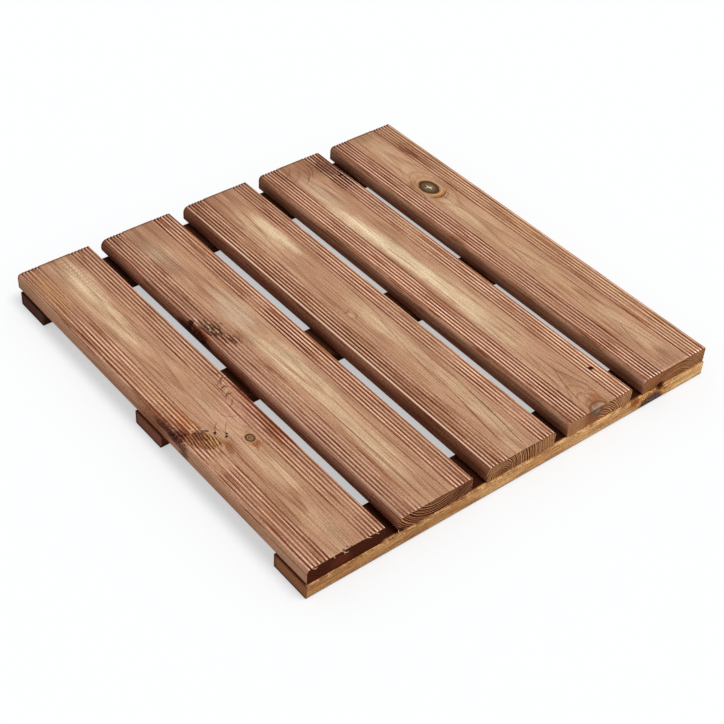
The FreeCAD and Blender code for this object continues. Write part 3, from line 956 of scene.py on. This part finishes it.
def add_splinters():
    """Torn fibres that hang from the near end of the first slat: slivers bent once, each by three points in
    millimetres."""
    slivers = (
        ((-210.2, -247.6, 33.6), (-208.6, -249.0, 32.6), (-208.2, -249.4, 29.4)),
        ((-209.0, -248.6, 33.0), (-206.4, -249.4, 31.4), (-204.4, -249.6, 31.8)),
        ((-184.0, -247.5, 33.6), (-181.0, -248.8, 33.4), (-178.4, -249.0, 31.6)),
        ((-174.0, -247.4, 33.6), (-171.6, -248.8, 33.0), (-170.2, -249.0, 30.8)),
        ((-243.0, -247.6, 33.0), (-239.8, -248.8, 32.0), (-237.4, -248.6, 33.0)),
        ((-220.2, -247.6, 33.6), (-219.0, -248.8, 32.6), (-219.4, -249.0, 31.2)),
        ((-146.2, -247.6, 20.6), (-147.4, -248.8, 18.6), (-145.2, -249.2, 17.4)),
    )
    board = bmesh.new()
    for sliver in slivers:
        for thick, thin, start, end in ((0.28, 0.2, *sliver[:2]), (0.2, 0.05, *sliver[1:])):
            way = Vector(end) - Vector(start)
            turn = way.to_track_quat("Z", "Y").to_matrix().to_4x4()
            place = Matrix.Translation((Vector(start) + Vector(end)) / 2) @ turn
            bmesh.ops.create_cone(
                board, cap_ends=True, segments=6, radius1=thick, radius2=thin, depth=way.length * 1.08,
                matrix=place
            )
    bmesh.ops.scale(board, vec=(MM, MM, MM), verts=board.verts)
    mesh = as_mesh(board, "torn_fibres")
    finish = Finish("pale_torn_fibre")
    x, y, z = finish.place()
    grain = finish.noise(x * 0.8, y * 0.8, z * 0.8, 2.0, 0.5)
    colour = finish.mix(grain, tint(240, 184, 134), tint(254, 220, 180))
    mesh.materials.append(finish.wood(colour, 0.7 + grain * 0.1, grain, 0.1))
    piece = add_object("torn_fibres", mesh)
    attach(piece, "root")


def dress(node, material):
    """Gives a CAD node its finish."""
    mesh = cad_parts[node].data
    mesh.materials.clear()
    mesh.materials.append(material)


for slat in SLATS:
    add_slat(slat)
add_splinters()
for node in BEARER_TONES:
    dress(node, bearer_finish(node))
zinc = staple_finish()
for node in ("staples_front", "staples_middle", "staples_back"):
    dress(node, zinc)


# The floor, the light and the camera

def add_floor():
    """A pale floor that the camera sees half as bright as white, so that shadows on it stay faint."""
    plane = bmesh.new()
    bmesh.ops.create_grid(plane, x_segments=1, y_segments=1, size=FLOOR_HALF_SIDE)
    mesh = as_mesh(plane, "floor")
    finish = Finish("pale_floor")
    rays = ("Is Camera Ray", "Is Glossy Ray", "Is Transmission Ray")
    seen = [finish.node("ShaderNodeLightPath", {}, {}, ray) for ray in rays]
    paper = finish.node("ShaderNodeBsdfDiffuse", {}, {"Color": (0.96, 0.96, 0.96, 1)})
    white = finish.node("ShaderNodeEmission", {}, {"Color": (0.97, 0.985, 1, 1), "Strength": 1.0})
    share = smaller(seen[0] + seen[1] + seen[2], 1.0) * 0.5
    mesh.materials.append(finish.done(finish.node("ShaderNodeMixShader", {}, {0: share, 1: paper, 2: white})))
    floor = add_object("floor", mesh)
    floor.location.z = -FLOOR_DROP


def add_world():
    """Even light from all round, white where it is seen."""
    light = Finish("studio", "worlds")
    seen = light.node("ShaderNodeLightPath", {}, {}, "Is Camera Ray")
    soft = light.node("ShaderNodeBackground", {}, {"Color": (0.96, 0.98, 1, 1), "Strength": 0.55})
    white = light.node("ShaderNodeBackground", {}, {"Color": (1, 1, 1, 1)})
    mixed = light.node("ShaderNodeMixShader", {}, {0: seen, 1: soft, 2: white})
    bpy.context.scene.world = light.done(mixed, "ShaderNodeOutputWorld")


def add_sun(name, towards, strength, spread, colour):
    """A broad distant lamp. Towards is the way from the tile to it."""
    data = bpy.data.lights.new(name, "SUN")
    data.energy = strength
    data.angle = math.radians(spread)
    data.color = colour
    lamp = add_object(name, data)
    lamp.rotation_mode = "QUATERNION"
    lamp.rotation_quaternion = Vector(towards).to_track_quat("Z", "Y")


def add_camera():
    """The photograph's camera, fitted to the tile's corners and edges."""
    azimuth, elevation, roll = (math.radians(angle) for angle in (-38.064, 41.406, 1.634))
    focal_pixels, centre_pixels, frame_pixels = 1546.661, 301.579, 724
    offset_right, offset_up, distance = -53.225, -26.407, 1593.408
    back = Vector((
        math.sin(azimuth) * math.cos(elevation), -math.cos(azimuth) * math.cos(elevation), math.sin(elevation)
    ))
    level = Vector((math.cos(azimuth), math.sin(azimuth), 0))
    upright = back.cross(level)
    right = level * math.cos(roll) + upright * math.sin(roll)
    up = upright * math.cos(roll) - level * math.sin(roll)
    data = bpy.data.cameras.new("camera")
    data.sensor_width = SENSOR_WIDTH
    data.lens = SENSOR_WIDTH * focal_pixels / frame_pixels
    data.shift_x = (frame_pixels / 2 - centre_pixels) / frame_pixels
    camera = add_object("camera", data)
    turn = Matrix((right, up, back)).transposed().to_4x4()
    place = (right * offset_right + up * offset_up + back * distance) * MM
    camera.matrix_world = Matrix.Translation(place) @ turn
    bpy.context.scene.camera = camera


add_floor()
add_world()
add_sun("front_right_lamp", (0.22, -0.24, 1.0), 1.72, 28, (1.0, 0.985, 0.96))
add_camera()
bpy.context.scene.view_settings.view_transform = "Standard"
